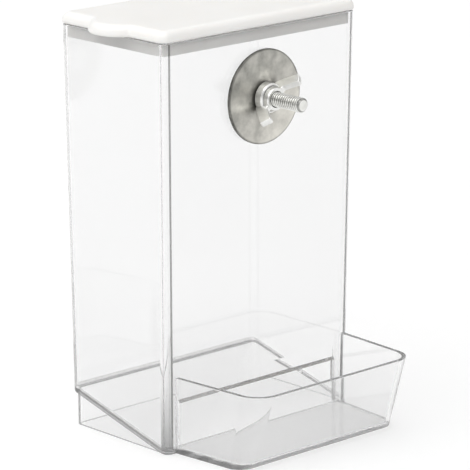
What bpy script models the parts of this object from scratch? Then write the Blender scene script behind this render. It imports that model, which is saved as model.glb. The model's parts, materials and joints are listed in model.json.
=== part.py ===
# Clear gravity seed feeder for a bird cage.
# A drafted hopper stands on a base whose sloped floor runs out through a window into the
# feeding tray. A white lid plugs the top. A bolt, two washers and a wing nut clamp the
# front wall to the wires of the cage.
# Sizes are in metres, +Z is up and the tray faces -Y.
import math

import bmesh
import bpy
from mathutils import Vector

MM = 0.001

# Clearance between pieces that touch
GAP = 0.3 * MM

# How far one shape runs into another that it is joined to
BITE = 1.0 * MM

# Least radius of an inside corner, and the most of a wall that a fillet may take
LEAST_CORNER = 0.5 * MM
FILLET_SHARE = 0.9

# Hopper: four walls, wider at the top so that it leaves its mould
HOPPER_HEIGHT = 138.5 * MM
HOPPER_TOP_WIDTH = 87.5 * MM
HOPPER_TOP_DEPTH = 51.5 * MM
HOPPER_WALL = 2.0 * MM
HOPPER_CORNER = 3.0 * MM
DRAFT = math.radians(0.66)

# The stretch of the front wall that lies on the cage's wires ends this far below the washer
CAGE_FACE_MARGIN = 2.0 * MM

# Feeding window at the foot of the front wall
WINDOW_LEG = 6.6 * MM
WINDOW_TOP = 17.0 * MM
WINDOW_RISE = 1.0 * MM
WINDOW_LIP_HEIGHT = 4.4 * MM
WINDOW_LIP_THINNING = 0.25 * MM

# Base: sloped floor, tray and skirt
FLOOR_THICKNESS = 1.8 * MM
FLOOR_SLOPE = math.radians(14.6)
FLOOR_BEND_RADIUS = 8.0 * MM
FLOOR_BEND_INSET = 1.2 * MM
FLOOR_LIP = 0.25 * MM
SKIRT_INSET = 0.9 * MM
SKIRT_WALL = 1.6 * MM
TRAY_REACH = 38.0 * MM
TRAY_HEIGHT = 26.5 * MM
TRAY_WALL = 1.5 * MM
TRAY_REAR_INSET = 3.1 * MM
TRAY_SIDE_TAPER = 2.7 * MM
TRAY_SIDE_LEAN = 0.4 * MM
TRAY_FRONT_LEAN = 9.0 * MM
TRAY_RIM_CORNER = 8.6 * MM
TRAY_FLOOR_CORNER = 5.5 * MM
TRAY_REAR_ROUND = 1.2 * MM

# Lid
LID_OVERHANG = 0.25 * MM
LID_THICKNESS = 3.9 * MM
LID_EDGE_RADIUS = 3.0 * MM
LID_PLUG_DEPTH = 4.3 * MM
LID_PLUG_WALL = 1.5 * MM
LID_PLUG_FIT = 0.35 * MM
TAB_REACH = 5.6 * MM
TAB_RADIUS = 11.2 * MM
TAB_FILLET = 2.0 * MM

# Clamp: bolt, washers and wing nut
BOLT_DROP = 23.0 * MM
BOLT_DIAMETER = 5.0 * MM
BOLT_REACH = 19.5 * MM
BOLT_CHAMFER = 0.6 * MM
HEAD_DIAMETER = 9.5 * MM
HEAD_HEIGHT = 3.0 * MM
HEAD_DOME = 1.5 * MM
HEAD_SLOT_WIDTH = 1.2 * MM
HEAD_SLOT_DEPTH = 1.4 * MM
INNER_WASHER_DIAMETER = 15.0 * MM
FRONT_WASHER_DIAMETER = 32.0 * MM
WASHER_THICKNESS = 1.2 * MM
WASHER_EDGE = 0.25 * MM
NUT_BASE_DIAMETER = 10.6 * MM
NUT_TOP_DIAMETER = 8.2 * MM
NUT_HEIGHT = 5.2 * MM
NUT_EDGE = 0.4 * MM
NUT_FLANGE_DIAMETER = 10.0 * MM
NUT_FLANGE_HEIGHT = 3.0 * MM
WING_SPAN = 22.4 * MM
WING_HEIGHT = 9.8 * MM
WING_THICKNESS = 2.2 * MM
WING_EDGE = 0.3 * MM
WING_FOOT = 0.6 * MM
WING_ROOT_RADIUS = 2.0 * MM
WING_TIP_HEIGHT = 2.8 * MM
WING_TIP_WIDTH = 2.9 * MM
WING_TIP_RADIUS = 0.6 * MM
WING_ANGLE = math.radians(40.0)

# Facets
ARC_STEPS = 7
ROUND_STEPS = 48

# Sizes that follow from those above
FLOOR_RISE = math.tan(FLOOR_SLOPE)
BOLT_RADIUS = BOLT_DIAMETER / 2
BORE_RADIUS = BOLT_RADIUS + GAP
BOLT_HEIGHT = HOPPER_HEIGHT - BOLT_DROP


def half_width(z):
    return HOPPER_TOP_WIDTH / 2 - (HOPPER_HEIGHT - z) * math.tan(DRAFT)


def half_depth(z):
    return HOPPER_TOP_DEPTH / 2 - (HOPPER_HEIGHT - z) * math.tan(DRAFT)


BASE_HALF_WIDTH = half_width(0)
BASE_HALF_DEPTH = half_depth(0)
TRAY_RIM_FRONT = -BASE_HALF_DEPTH - TRAY_REACH
LID_HALF_WIDTH = HOPPER_TOP_WIDTH / 2 + LID_OVERHANG
LID_HALF_DEPTH = HOPPER_TOP_DEPTH / 2 + LID_OVERHANG
LID_UNDERSIDE = HOPPER_HEIGHT + GAP
CAGE_FACE_HIGH = BOLT_HEIGHT - FRONT_WASHER_DIAMETER / 2 - CAGE_FACE_MARGIN


# Outlines

def arc(center, radius, start, end, steps=ARC_STEPS):
    cx, cy = center
    angles = [start + (end - start) * i / steps for i in range(steps + 1)]
    return [(cx + radius * math.cos(a), cy + radius * math.sin(a)) for a in angles]


def rounded_polygon(corners, radii, steps=ARC_STEPS):
    """Corner points in order round the outline, each with its own fillet radius."""
    points = []
    for i, corner in enumerate(corners):
        here = Vector(corner)
        before = (Vector(corners[i - 1]) - here).normalized()
        after = (Vector(corners[(i + 1) % len(corners)]) - here).normalized()
        radius = radii[i]
        if radius == 0:
            points.append(tuple(here))
            continue
        half = before.angle(after) / 2
        middle = here + (before + after).normalized() * (radius / math.sin(half))
        first = here + before * (radius / math.tan(half)) - middle
        last = here + after * (radius / math.tan(half)) - middle
        start = math.atan2(first.y, first.x)
        turn = math.atan2(first.cross(last), first.dot(last))
        points += arc(middle, radius, start, start + turn, steps)
    return points


def rounded_rectangle(half_x, half_y, radius):
    corners = [(half_x, half_y), (-half_x, half_y), (-half_x, -half_y), (half_x, -half_y)]
    return rounded_polygon(corners, [radius] * 4)


def circle(radius, steps=ROUND_STEPS):
    return arc((0, 0), radius, 0, 2 * math.pi * (1 - 1 / steps), steps - 1)


def at_height(outline, z):
    return [(x, y, z) for x, y in outline]


# Solids

def mesh_object(name, bm):
    bmesh.ops.recalc_face_normals(bm, faces=bm.faces)
    mesh = bpy.data.meshes.new(name)
    bm.to_mesh(mesh)
    bm.free()
    piece = bpy.data.objects.new(name, mesh)
    bpy.context.collection.objects.link(piece)
    return piece


def loft(name, rings, hollow=False):
    """Skin rings of points. A hollow loft joins its last ring to its first, else both are capped."""
    bm = bmesh.new()
    loops = [[bm.verts.new(point) for point in ring] for ring in rings]
    pairs = list(zip(loops, loops[1:]))
    if hollow:
        pairs.append((loops[-1], loops[0]))
    else:
        bm.faces.new(loops[0])
        bm.faces.new(loops[-1])
    for low, high in pairs:
        for i in range(len(low)):
            bm.faces.new((low[i - 1], low[i], high[i], high[i - 1]))
    return mesh_object(name, bm)


def prism_across(name, profile, half_x):
    """A side profile of (y, z) points carried from -half_x to half_x."""
    return loft(name, [[(x, y, z) for y, z in profile] for x in (-half_x, half_x)])


def combine(piece, operation, other):
    other.hide_render = True
    other.display_type = 'WIRE'
    other.parent = piece.parent
    step = piece.modifiers.new(other.name, 'BOOLEAN')
    step.operation = operation
    step.solver = 'EXACT'
    step.object = other


def round_edges(piece, width, limit=math.radians(40)):
    edges = piece.modifiers.new('edges', 'BEVEL')
    edges.width = width
    edges.segments = 2
    edges.limit_method = 'ANGLE'
    edges.angle_limit = limit


def smooth(piece, sharp=math.radians(35)):
    piece.data.shade_smooth()
    piece.data.set_sharp_from_angle(angle=sharp)


def finish(piece, colour, roughness, metallic=0.0, transmission=0.0, ior=1.5):
    material = bpy.data.materials.new(piece.name)
    material.use_nodes = True
    shader = material.node_tree.nodes['Principled BSDF']
    shader.inputs['Base Color'].default_value = (*colour, 1)
    shader.inputs['Roughness'].default_value = roughness
    shader.inputs['Metallic'].default_value = metallic
    shader.inputs['Transmission Weight'].default_value = transmission
    shader.inputs['IOR'].default_value = ior
    piece.data.materials.append(material)


def carry(piece, frame):
    piece.parent = frame
    return piece


# Places

def empty(name, location, frame=None, turn=0.0):
    place = bpy.data.objects.new(name, None)
    place.location = location
    place.rotation_euler = (turn, 0, 0)
    place.parent = frame
    bpy.context.collection.objects.link(place)
    return place


# Floor: the path that the seed runs down, as heights of its upper face at each depth

def floor_path(lift):
    """The (y, z) line of the floor's upper face raised by lift: flat tray, bend, slope to the back."""
    bend = -BASE_HALF_DEPTH + FLOOR_BEND_INSET
    tangent = FLOOR_BEND_RADIUS * math.tan(FLOOR_SLOPE / 2)
    level = FLOOR_THICKNESS + lift
    centre = (bend - tangent, level + FLOOR_BEND_RADIUS)
    start = -math.pi / 2
    curve = arc(centre, FLOOR_BEND_RADIUS, start, start + FLOOR_SLOPE)
    back = BASE_HALF_DEPTH * 2
    return [(-BASE_HALF_DEPTH * 2, level)] + curve + [(back, level + (back - bend) * FLOOR_RISE)]


def wall_ring(z, grow, radius):
    outline = rounded_rectangle(half_width(z) + grow, half_depth(z) + grow, radius)
    return at_height(outline, z)


def build_hopper_shell(frame):
    inner_corner = max(HOPPER_CORNER - HOPPER_WALL, LEAST_CORNER)
    heights = (0, CAGE_FACE_HIGH, HOPPER_HEIGHT)
    rings = [wall_ring(z, 0, HOPPER_CORNER) for z in heights]
    rings += [wall_ring(z, -HOPPER_WALL, inner_corner) for z in (HOPPER_HEIGHT, 0)]
    shell = carry(loft('hopper_shell', rings, hollow=True), frame)

    # The walls end on the sloped floor
    below = [(-BASE_HALF_DEPTH * 2, -HOPPER_HEIGHT), (BASE_HALF_DEPTH * 2, -HOPPER_HEIGHT)]
    foot = floor_path(GAP)
    combine(shell, 'DIFFERENCE', prism_across('foot_cut', foot + below[::-1], HOPPER_TOP_WIDTH))

    # The window's upper edge rises inwards, and the wall thins towards it on the inside
    edge_top = WINDOW_TOP + WINDOW_RISE
    lip_top = edge_top + WINDOW_LIP_HEIGHT
    outer = -half_depth(WINDOW_TOP)
    inner = -half_depth(lip_top) + HOPPER_WALL
    edge = inner - WINDOW_LIP_THINNING
    beyond = HOPPER_WALL * 2
    steepness = WINDOW_RISE / (edge - outer)
    window = [
        (edge, edge_top),
        (inner, lip_top),
        (inner + beyond, lip_top),
        (inner + beyond, -beyond),
        (outer - beyond, -beyond),
        (outer - beyond, WINDOW_TOP - steepness * beyond),
    ]
    window_half = BASE_HALF_WIDTH - WINDOW_LEG
    combine(shell, 'DIFFERENCE', prism_across('window_cut', window, window_half))
    finish(shell, (0.94, 0.95, 0.96), 0.04, transmission=0.95, ior=1.57)
    return shell


# Base

def tray_outline(share, grow, corner):
    """The tray's plan at a share of its height, grown outwards, open side at the hopper."""
    lean = (1 - share) * TRAY_SIDE_LEAN
    front = TRAY_RIM_FRONT + (1 - share) * TRAY_FRONT_LEAN - grow
    rear = -BASE_HALF_DEPTH + FLOOR_BEND_INSET
    rear_x = BASE_HALF_WIDTH - TRAY_REAR_INSET - lean + grow
    front_x = rear_x - TRAY_SIDE_TAPER
    corners = [(rear_x, rear), (-rear_x, rear), (-front_x, front), (front_x, front)]
    return rounded_polygon(corners, [0, 0, corner, corner])


def build_base_tray(frame):
    # Tray: an outer tub less an inner one
    outer = [
        at_height(tray_outline(0, 0, TRAY_FLOOR_CORNER), 0),
        at_height(tray_outline(1, 0, TRAY_RIM_CORNER), TRAY_HEIGHT),
    ]
    base = carry(loft('base_tray', outer), frame)
    over = TRAY_HEIGHT + BITE
    floor_plan = tray_outline(FLOOR_THICKNESS / TRAY_HEIGHT, -TRAY_WALL, TRAY_FLOOR_CORNER - TRAY_WALL)
    mouth_plan = tray_outline(over / TRAY_HEIGHT, -TRAY_WALL, TRAY_RIM_CORNER - TRAY_WALL)
    inner = [at_height(floor_plan, FLOOR_THICKNESS), at_height(mouth_plan, over)]
    combine(base, 'DIFFERENCE', loft('tray_cut', inner))

    # The tray walls stop short of the hopper's front wall, with their upper rear corners rounded.
    # The arc ends just above the rim, so that it crosses the rim's face
    foot = -half_depth(FLOOR_THICKNESS) - GAP
    back = -half_depth(TRAY_HEIGHT) - GAP
    centre = (back - TRAY_REAR_ROUND, TRAY_HEIGHT - TRAY_REAR_ROUND + GAP / 5)
    corner = arc(centre, TRAY_REAR_ROUND, 0, math.pi / 2)
    behind = [(centre[0], over), (0, over), (0, FLOOR_THICKNESS), (foot, FLOOR_THICKNESS)]
    combine(base, 'DIFFERENCE', prism_across('hopper_clearance', corner + behind, HOPPER_TOP_WIDTH))

    # Sloped floor under the hopper
    edge_x = BASE_HALF_WIDTH + FLOOR_LIP
    edge_y = BASE_HALF_DEPTH + FLOOR_LIP
    plan = rounded_rectangle(edge_x, edge_y, HOPPER_CORNER + FLOOR_LIP)
    plate = carry(loft('floor_plate', [at_height(plan, z) for z in (-HOPPER_HEIGHT, HOPPER_HEIGHT)]), frame)
    upper = floor_path(0)
    lower = floor_path(-FLOOR_THICKNESS)
    combine(plate, 'INTERSECT', prism_across('floor_section', upper + lower[::-1], HOPPER_TOP_WIDTH))
    combine(base, 'UNION', plate)

    # Skirt that holds up the floor at the sides and back
    skirt_x = edge_x - SKIRT_INSET
    skirt_y = edge_y - SKIRT_INSET
    inner_corner = max(HOPPER_CORNER - SKIRT_WALL, LEAST_CORNER)
    outside = rounded_rectangle(skirt_x, skirt_y, HOPPER_CORNER)
    inside = rounded_rectangle(skirt_x - SKIRT_WALL, skirt_y - SKIRT_WALL, inner_corner)
    rings = [
        at_height(outside, 0),
        at_height(outside, HOPPER_HEIGHT),
        at_height(inside, HOPPER_HEIGHT),
        at_height(inside, 0),
    ]
    skirt = carry(loft('skirt', rings, hollow=True), frame)
    middle = floor_path(-FLOOR_THICKNESS / 2)
    ground = [(-BASE_HALF_DEPTH * 2, -HOPPER_HEIGHT), (BASE_HALF_DEPTH * 2, -HOPPER_HEIGHT)]
    combine(skirt, 'INTERSECT', prism_across('skirt_section', middle + ground[::-1], HOPPER_TOP_WIDTH))
    combine(base, 'UNION', skirt)
    finish(base, (0.93, 0.94, 0.95), 0.04, transmission=0.95, ior=1.57)
    return base


# Lid

def lid_outline(inset):
    """The lid's plan with a finger tab on each side, drawn in by inset."""
    corner = HOPPER_CORNER + LID_OVERHANG
    quarter = math.pi / 2
    tab_x = LID_HALF_WIDTH + TAB_REACH - TAB_RADIUS
    fillet_x = LID_HALF_WIDTH + TAB_FILLET
    fillet_y = math.sqrt((TAB_RADIUS + TAB_FILLET) ** 2 - (fillet_x - tab_x) ** 2)
    meet = math.atan2(fillet_y, fillet_x - tab_x)
    points = []
    for side in (0, math.pi):
        way = 1 if side == 0 else -1
        corner_x = way * (LID_HALF_WIDTH - corner)
        corner_y = way * (LID_HALF_DEPTH - corner)
        points += arc((corner_x, -corner_y), corner - inset, side - quarter, side)
        points += arc((way * fillet_x, -way * fillet_y), TAB_FILLET + inset,
                      side + math.pi, side + math.pi - meet)
        points += arc((way * tab_x, 0), TAB_RADIUS - inset, side - meet, side + meet, 2 * ARC_STEPS)
        points += arc((way * fillet_x, way * fillet_y), TAB_FILLET + inset,
                      side + math.pi + meet, side + math.pi)
        points += arc((corner_x, corner_y), corner - inset, side, side + quarter)
    return points


def build_lid(frame):
    wall = min(HOPPER_CORNER + LID_OVERHANG, LID_THICKNESS)
    radius = min(LID_EDGE_RADIUS, FILLET_SHARE * wall)
    top = LID_UNDERSIDE + LID_THICKNESS
    rings = [at_height(lid_outline(0), LID_UNDERSIDE)]
    for i in range(ARC_STEPS):
        turn = math.pi / 2 * i / (ARC_STEPS - 1)
        rings.append(at_height(lid_outline(radius * (1 - math.cos(turn))),
                               top - radius * (1 - math.sin(turn))))
    lid = carry(loft('lid', rings), frame)

    # Plug that drops inside the hopper
    outer = HOPPER_WALL + LID_PLUG_FIT
    inner = outer + LID_PLUG_WALL
    foot = HOPPER_HEIGHT - LID_PLUG_DEPTH
    root = LID_UNDERSIDE + BITE
    outer_corner = max(HOPPER_CORNER - outer, LEAST_CORNER)
    outside = rounded_rectangle(half_width(foot) - outer, half_depth(foot) - outer, outer_corner)
    inside = rounded_rectangle(half_width(foot) - inner, half_depth(foot) - inner, LEAST_CORNER)
    plug_rings = [at_height(outside, foot), at_height(outside, root),
                  at_height(inside, root), at_height(inside, foot)]
    combine(lid, 'UNION', loft('plug', plug_rings, hollow=True))
    smooth(lid)
    finish(lid, (0.93, 0.92, 0.90), 0.35, ior=1.46)
    return lid


# Clamp, modelled along its own axis with zero on the front wall's outer face

def turned_ring(name, outer_radius, low, high, edge):
    rings = [
        at_height(circle(BORE_RADIUS), low),
        at_height(circle(outer_radius - edge), low),
        at_height(circle(outer_radius), low + edge),
        at_height(circle(outer_radius), high - edge),
        at_height(circle(outer_radius - edge), high),
        at_height(circle(BORE_RADIUS), high),
    ]
    piece = loft(name, rings, hollow=True)
    smooth(piece)
    return piece


def build_clamp_bolt(axis):
    seat = -HOPPER_WALL - 2 * GAP - WASHER_THICKNESS
    head_radius = HEAD_DIAMETER / 2
    rings = [
        at_height(circle(BOLT_RADIUS - BOLT_CHAMFER), BOLT_REACH),
        at_height(circle(BOLT_RADIUS), BOLT_REACH - BOLT_CHAMFER),
        at_height(circle(BOLT_RADIUS), seat),
        at_height(circle(head_radius), seat),
    ]
    for i in range(ARC_STEPS):
        turn = math.pi / 2 * i / ARC_STEPS
        rings.append(at_height(circle(head_radius - HEAD_DOME * (1 - math.cos(turn))),
                               seat - HEAD_HEIGHT + HEAD_DOME * (1 - math.sin(turn))))
    bolt = carry(loft('clamp_bolt', rings), axis)
    smooth(bolt)

    # Screwdriver slot across the head
    half = HEAD_SLOT_WIDTH / 2
    bottom = seat - HEAD_HEIGHT + HEAD_SLOT_DEPTH
    slot = [(-half, bottom), (half, bottom), (half, bottom - HEAD_HEIGHT), (-half, bottom - HEAD_HEIGHT)]
    combine(bolt, 'DIFFERENCE', prism_across('slot_cut', slot, HEAD_DIAMETER))
    finish(bolt, (0.78, 0.78, 0.76), 0.25, metallic=1.0)
    return bolt


def build_inner_washer(axis):
    high = -HOPPER_WALL - GAP
    washer = turned_ring('inner_washer', INNER_WASHER_DIAMETER / 2, high - WASHER_THICKNESS, high,
                         WASHER_EDGE)
    finish(washer, (0.62, 0.62, 0.60), 0.38, metallic=1.0)
    return carry(washer, axis)


def build_front_washer(axis):
    washer = turned_ring('front_washer', FRONT_WASHER_DIAMETER / 2, GAP, GAP + WASHER_THICKNESS,
                         WASHER_EDGE)
    finish(washer, (0.62, 0.62, 0.60), 0.38, metallic=1.0)
    return carry(washer, axis)


def build_wing_nut(axis):
    """Hub and two wings, modelled on the nut's own seat and turned to where it was tightened."""
    base = NUT_BASE_DIAMETER / 2
    flange = NUT_FLANGE_DIAMETER / 2
    top = NUT_TOP_DIAMETER / 2
    hub_rings = [
        at_height(circle(base - NUT_EDGE), 0),
        at_height(circle(base), NUT_EDGE),
        at_height(circle(flange), NUT_FLANGE_HEIGHT - NUT_EDGE),
        at_height(circle(flange - NUT_EDGE), NUT_FLANGE_HEIGHT),
        at_height(circle(top), NUT_FLANGE_HEIGHT),
        at_height(circle(top), NUT_HEIGHT - NUT_EDGE),
        at_height(circle(top - NUT_EDGE), NUT_HEIGHT),
    ]
    nut = carry(loft('wing_nut', hub_rings), axis)
    nut.location.z = GAP + WASHER_THICKNESS + GAP
    nut.rotation_euler.z = WING_ANGLE

    # Each wing rises outwards from the hub to a tip cut straight across
    reach = WING_SPAN / 2
    root = BOLT_RADIUS
    shoulder = NUT_HEIGHT - NUT_EDGE
    wing = [
        (root, NUT_EDGE),
        (base + WING_FOOT, NUT_EDGE),
        (reach, WING_HEIGHT - WING_TIP_HEIGHT),
        (reach - WING_TIP_WIDTH, WING_HEIGHT),
        (top + WING_FOOT, shoulder),
        (root, shoulder),
    ]
    radii = [0, WING_ROOT_RADIUS, WING_TIP_RADIUS, WING_TIP_RADIUS, WING_TIP_RADIUS, 0]
    outline = rounded_polygon(wing, radii)
    half = WING_THICKNESS / 2
    for way in (1, -1):
        rings = [[(way * r, y, h) for r, h in outline] for y in (-half, half)]
        blade = loft(f'wing_{way}', rings)
        round_edges(blade, WING_EDGE)
        combine(nut, 'UNION', blade)
        blade.parent = nut

    bore = loft('nut_bore', [at_height(circle(BORE_RADIUS), z) for z in (-NUT_HEIGHT, 2 * NUT_HEIGHT)])
    combine(nut, 'DIFFERENCE', bore)
    bore.parent = nut
    smooth(nut)
    finish(nut, (0.80, 0.80, 0.78), 0.28, metallic=1.0)
    return nut


def cut_bolt_hole(shell, axis):
    span = (-2 * HOPPER_WALL, HOPPER_WALL)
    hole = loft('bolt_hole', [at_height(circle(BORE_RADIUS), z) for z in span])
    combine(shell, 'DIFFERENCE', hole)
    hole.parent = axis


def main():
    for old in list(bpy.data.objects):
        bpy.data.objects.remove(old, do_unlink=True)

    # The origin is under the middle of the whole feeder, so the hopper stands behind it
    middle = (TRAY_RIM_FRONT + LID_HALF_DEPTH) / 2
    feeder = empty('feeder', (0, -middle, 0))
    wall_face = (0, -half_depth(BOLT_HEIGHT), BOLT_HEIGHT)
    axis = empty('clamp_axis', wall_face, feeder, math.pi / 2 + DRAFT)

    shell = build_hopper_shell(feeder)
    cut_bolt_hole(shell, axis)
    build_base_tray(feeder)
    build_lid(feeder)
    build_clamp_bolt(axis)
    build_inner_washer(axis)
    build_front_washer(axis)
    build_wing_nut(axis)


main()
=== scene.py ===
import json
import math

import bmesh
import bpy
from mathutils import Matrix, Vector


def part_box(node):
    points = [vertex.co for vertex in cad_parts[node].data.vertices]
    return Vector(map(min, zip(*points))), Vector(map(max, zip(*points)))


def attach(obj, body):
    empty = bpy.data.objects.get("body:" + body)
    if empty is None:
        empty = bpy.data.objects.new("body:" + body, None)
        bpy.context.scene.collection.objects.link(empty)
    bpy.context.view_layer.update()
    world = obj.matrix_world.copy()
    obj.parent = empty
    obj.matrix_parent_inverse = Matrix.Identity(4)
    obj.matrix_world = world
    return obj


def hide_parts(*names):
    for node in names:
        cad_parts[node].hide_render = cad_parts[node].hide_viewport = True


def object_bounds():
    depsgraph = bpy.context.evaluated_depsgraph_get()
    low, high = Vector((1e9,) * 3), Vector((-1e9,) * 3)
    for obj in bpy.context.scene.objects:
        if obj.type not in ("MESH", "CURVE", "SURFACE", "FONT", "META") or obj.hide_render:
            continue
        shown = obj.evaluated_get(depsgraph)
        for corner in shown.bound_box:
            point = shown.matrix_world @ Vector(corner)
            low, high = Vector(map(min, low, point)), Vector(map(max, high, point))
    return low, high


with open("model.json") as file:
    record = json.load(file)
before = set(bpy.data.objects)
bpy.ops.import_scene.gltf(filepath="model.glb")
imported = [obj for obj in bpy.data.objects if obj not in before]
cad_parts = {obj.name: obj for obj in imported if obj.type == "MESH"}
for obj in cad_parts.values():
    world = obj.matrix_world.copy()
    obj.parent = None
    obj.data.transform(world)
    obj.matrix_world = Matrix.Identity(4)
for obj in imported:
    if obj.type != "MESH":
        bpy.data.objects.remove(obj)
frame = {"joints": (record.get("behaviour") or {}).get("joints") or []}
cadLow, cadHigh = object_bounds()
scene = bpy.context.scene
mm = 0.001
hopperLow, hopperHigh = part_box("hopper_shell")
hopperMiddle = (hopperLow.y + hopperHigh.y) / 2  # the hopper stands behind the origin
nutJoint = next(j for j in frame["joints"] if j["name"] == "nut_turn")
clampTurn = math.atan2(-nutJoint["axis"][1], nutJoint["axis"][2])

# the pieces are drawn in millimetres, on the hopper's axis or on the clamp's,
# which starts at the front wall's outer face
toMetres = Matrix.Scale(mm, 4)
hopperPlace = Matrix.Translation((0, hopperMiddle, 0)) @ toMetres
clampPlace = Matrix.Translation(nutJoint["pos_m"]) @ Matrix.Rotation(clampTurn, 4, "X") @ toMetres
spare = 1.0  # millimetres that a cutting tool reaches past what it cuts
print("frame loaded")


# small tools

def linearColour(code):
    parts = [int(code[i:i + 2], 16) / 255 for i in (1, 3, 5)]
    return (*[c / 12.92 if c <= 0.04045 else ((c + 0.055) / 1.055) ** 2.4 for c in parts], 1)


def addNode(tree, kind, settings=None, values=None, links=None):
    node = tree.nodes.new(kind)
    for name, value in (settings or {}).items():
        setattr(node, name, value)
    for socket, value in (values or {}).items():
        node.inputs[socket].default_value = value
    for socket, source in (links or {}).items():
        tree.links.new(source, node.inputs[socket])
    return node


def newMaterial(name):
    material = bpy.data.materials.new(name)
    material.use_nodes = True
    material.node_tree.nodes.clear()
    return material, material.node_tree


def arcPoints(centre, radius, start, end, steps):
    turns = [start + (end - start) * i / steps for i in range(steps + 1)]
    return [(centre[0] + radius * math.cos(t), centre[1] + radius * math.sin(t)) for t in turns]


def roundCorners(corners, radii, steps):
    points = []
    for i, corner in enumerate(corners):
        here = Vector(corner)
        if radii[i] == 0:
            points.append(tuple(here))
            continue
        before = (Vector(corners[i - 1]) - here).normalized()
        after = (Vector(corners[(i + 1) % len(corners)]) - here).normalized()
        half = before.angle(after) / 2
        middle = here + (before + after).normalized() * (radii[i] / math.sin(half))
        first = here + before * (radii[i] / math.tan(half)) - middle
        last = here + after * (radii[i] / math.tan(half)) - middle
        start = math.atan2(first.y, first.x)
        sweep = math.atan2(first.cross(last), first.dot(last))
        points += arcPoints(middle, radii[i], start, start + sweep, steps)
    return points


def roundedRectangle(halfX, halfY, radius, steps):
    corners = [(halfX, halfY), (-halfX, halfY), (-halfX, -halfY), (halfX, -halfY)]
    return roundCorners(corners, [radius] * 4, steps)


# how far each ring of a rounded edge lies inside the two faces that meet there
def roundOver(radius, steps):
    turns = [math.pi / 2 * i / steps for i in range(steps + 1)]
    return [(radius * (1 - math.sin(t)), radius * (1 - math.cos(t))) for t in turns]


def atHeight(outline, z):
    return [(x, y, z) for x, y in outline]


def circle(radius, z, sides=96):
    return atHeight(arcPoints((0, 0), radius, 0, math.tau * (1 - 1 / sides), sides - 1), z)


def meshPiece(name, bm, place):
    bmesh.ops.recalc_face_normals(bm, faces=bm.faces)
    mesh = bpy.data.meshes.new(name)
    bm.to_mesh(mesh)
    bm.free()
    mesh.transform(place)
    piece = bpy.data.objects.new(name, mesh)
    scene.collection.objects.link(piece)
    return piece


def loft(name, rings, hollow=False, place=hopperPlace):
    bm = bmesh.new()
    loops = [[bm.verts.new(point) for point in ring] for ring in rings]
    pairs = list(zip(loops, loops[1:]))
    if hollow:
        pairs.append((loops[-1], loops[0]))
    else:
        bm.faces.new(loops[0])
        bm.faces.new(loops[-1])
    for low, high in pairs:
        for i in range(len(low)):
            bm.faces.new((low[i - 1], low[i], high[i], high[i - 1]))
    return meshPiece(name, bm, place)


def prismAcross(name, profile, halfX):
    return loft(name, [[(x, y, z) for y, z in profile] for x in (-halfX, halfX)])


def bake(piece):
    bpy.context.view_layer.update()
    evaluated = piece.evaluated_get(bpy.context.evaluated_depsgraph_get())
    mesh = bpy.data.meshes.new_from_object(evaluated)
    piece.modifiers.clear()
    old = piece.data
    piece.data = mesh
    bpy.data.meshes.remove(old)
    mesh.name = piece.name


def combine(piece, operation, tool):
    step = piece.modifiers.new("combine", "BOOLEAN")
    step.operation = operation
    step.solver = "EXACT"
    step.object = tool
    bake(piece)
    bpy.data.objects.remove(tool)


def settleNormals(piece, sharp=30):  # flat walls stay flat where a small round runs into them
    piece.data.shade_smooth()
    piece.data.set_sharp_from_angle(angle=math.radians(sharp))
    weigh = piece.modifiers.new("normals", "WEIGHTED_NORMAL")
    weigh.keep_sharp = True
    weigh.weight = 100
    bake(piece)


# painted shade: this attribute makes the clear plastic's material paint grey into its colour
def paintEdgeShade(piece, edgeAt):  # the clear plastic's material reads this
    mesh = piece.data
    marks = mesh.attributes.new("edge", "FLOAT", "CORNER")
    toHopper = hopperPlace.inverted()
    for face in mesh.polygons:
        for i in face.loop_indices:
            spot = mesh.vertices[mesh.loops[i].vertex_index].co
            marks.data[i].value = edgeAt(toHopper @ face.center, face.normal, toHopper @ spot)


def stand(piece, node, body, material):
    piece.data.materials.clear()
    piece.data.materials.append(material)
    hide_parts(node)
    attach(piece, body)


# materials

styrene = {
    # the edge colour is the grey of painted shade at marked edges
    "clear": "#F9F9F9", "edge": "#6A6A6A", "depth": "#161616", "density": 0.8, "veil": "#FEFEFE",
    "smear": 14 * mm, "wave": 22 * mm, "waveHeight": 0.05 * mm,
    "roughness": (0.015, 0.05), "edgeRoughness": 0.26,
}


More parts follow.
